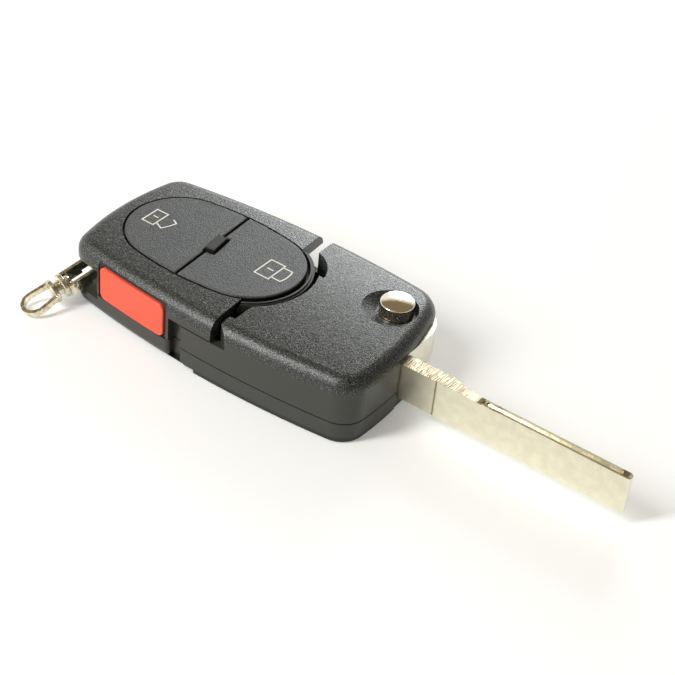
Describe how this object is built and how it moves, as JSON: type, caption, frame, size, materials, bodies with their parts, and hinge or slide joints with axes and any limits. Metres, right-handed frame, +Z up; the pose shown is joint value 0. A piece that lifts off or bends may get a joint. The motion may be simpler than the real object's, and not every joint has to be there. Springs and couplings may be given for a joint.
{
  "type": "car remote key",
  "caption": "Flip-out car remote key: key head with folding blade and release button, clip-on remote unit with lock buttons, alarm button and swivel ring link.",
  "frame": {"origin": "on the resting face, under the hinge axis of the blade", "axes": "+X along the open blade to its tip, +Y to the side into which the blade folds, +Z up out of the button face"},
  "size_m": [0.1287, 0.0495, 0.0168],
  "materials": {
    "textured_shell": "grained moulding",
    "lower_shell": "satin moulding",
    "pad_plastic": "fine grain",
    "bezel_plastic": "satin",
    "window_plastic": "smoked, glossy",
    "alarm_red": "satin",
    "frame_plastic": "satin",
    "blade_nickel": "nickel plated, satin",
    "hub_nickel": "nickel plated, cast",
    "button_nickel": "bright nickel",
    "ring_nickel": "bright nickel",
    "steel": "plain steel",
    "board_green": "solder mask",
    "chip_black": "moulded",
    "switch_body": "moulded",
    "lamp_white": "clear",
    "cell_steel": "satin",
    "contact_metal": "spring strip",
    "glass_black": "sealed brick"
  },
  "bodies": {
    "key_head": {"head_top_shell": "textured_shell", "head_lower_shell": "lower_shell", "transponder": "glass_black", "head_screws": "steel"},
    "blade_body": {"blade": "blade_nickel", "blade_hub": "hub_nickel", "blade_roll_pin": "steel"},
    "release": {"release_button": "button_nickel", "release_spring": "steel"},
    "remote_unit": {"remote_top_cover": "textured_shell", "remote_lower_cover": "lower_shell", "button_bezel": "bezel_plastic", "light_window": "window_plastic", "alarm_button_frame": "frame_plastic", "circuit_board": "board_green", "unlock_switch": "switch_body", "lock_switch": "switch_body", "alarm_switch": "switch_body", "indicator_led": "lamp_white", "control_chip": "chip_black", "crystal": "cell_steel", "coin_battery": "cell_steel", "battery_contact_negative": "contact_metal", "battery_contact_positive": "contact_metal", "ring_post": "steel"},
    "unlock": {"unlock_button": "pad_plastic"},
    "lock": {"lock_button": "pad_plastic"},
    "alarm": {"alarm_button": "alarm_red"},
    "link": {"ring_link": "ring_nickel"},
    "eye": {"end_loop": "ring_nickel", "swivel_rivet": "ring_nickel", "swivel_washer": "ring_nickel"}
  },
  "joints": [
    {"name": "blade_fold", "type": "hinge", "parent": "key_head", "child": "blade_body", "pos_m": [0, 0, 0.0073], "axis": [0, 0, 1], "range_deg": [0, 180]},
    {"name": "release_push", "type": "slide", "parent": "key_head", "child": "release", "axis": [0, 0, -1], "range_m": [0, 0.0016], "stiffness_N_per_m": 1200, "springref_m": -0.001, "deforming": ["release_spring"]},
    {"name": "remote_pull", "type": "slide", "parent": "key_head", "child": "remote_unit", "axis": [-1, 0, 0], "range_m": [0, 0.012]},
    {"name": "unlock_press", "type": "slide", "parent": "remote_unit", "child": "unlock", "axis": [0, 0, -1], "range_m": [0, 0.0004], "stiffness_N_per_m": 2500, "springref_m": -0.0004},
    {"name": "lock_press", "type": "slide", "parent": "remote_unit", "child": "lock", "axis": [0, 0, -1], "range_m": [0, 0.0004], "stiffness_N_per_m": 2500, "springref_m": -0.0004},
    {"name": "alarm_press", "type": "slide", "parent": "remote_unit", "child": "alarm", "axis": [0, 1, 0], "range_m": [0, 0.0006], "stiffness_N_per_m": 2500, "springref_m": -0.0004},
    {"name": "link_swing", "type": "hinge", "parent": "remote_unit", "child": "link", "pos_m": [-0.0615, -0.0197, 0.0073], "axis": [0, 0, 1], "range_deg": [-80, 20]},
    {"name": "eye_swivel", "type": "hinge", "parent": "link", "child": "eye", "pos_m": [-0.0615, -0.0197, 0.0073], "axis": [-0.2825, -0.907, -0.3123], "continuous": true}
  ]
}
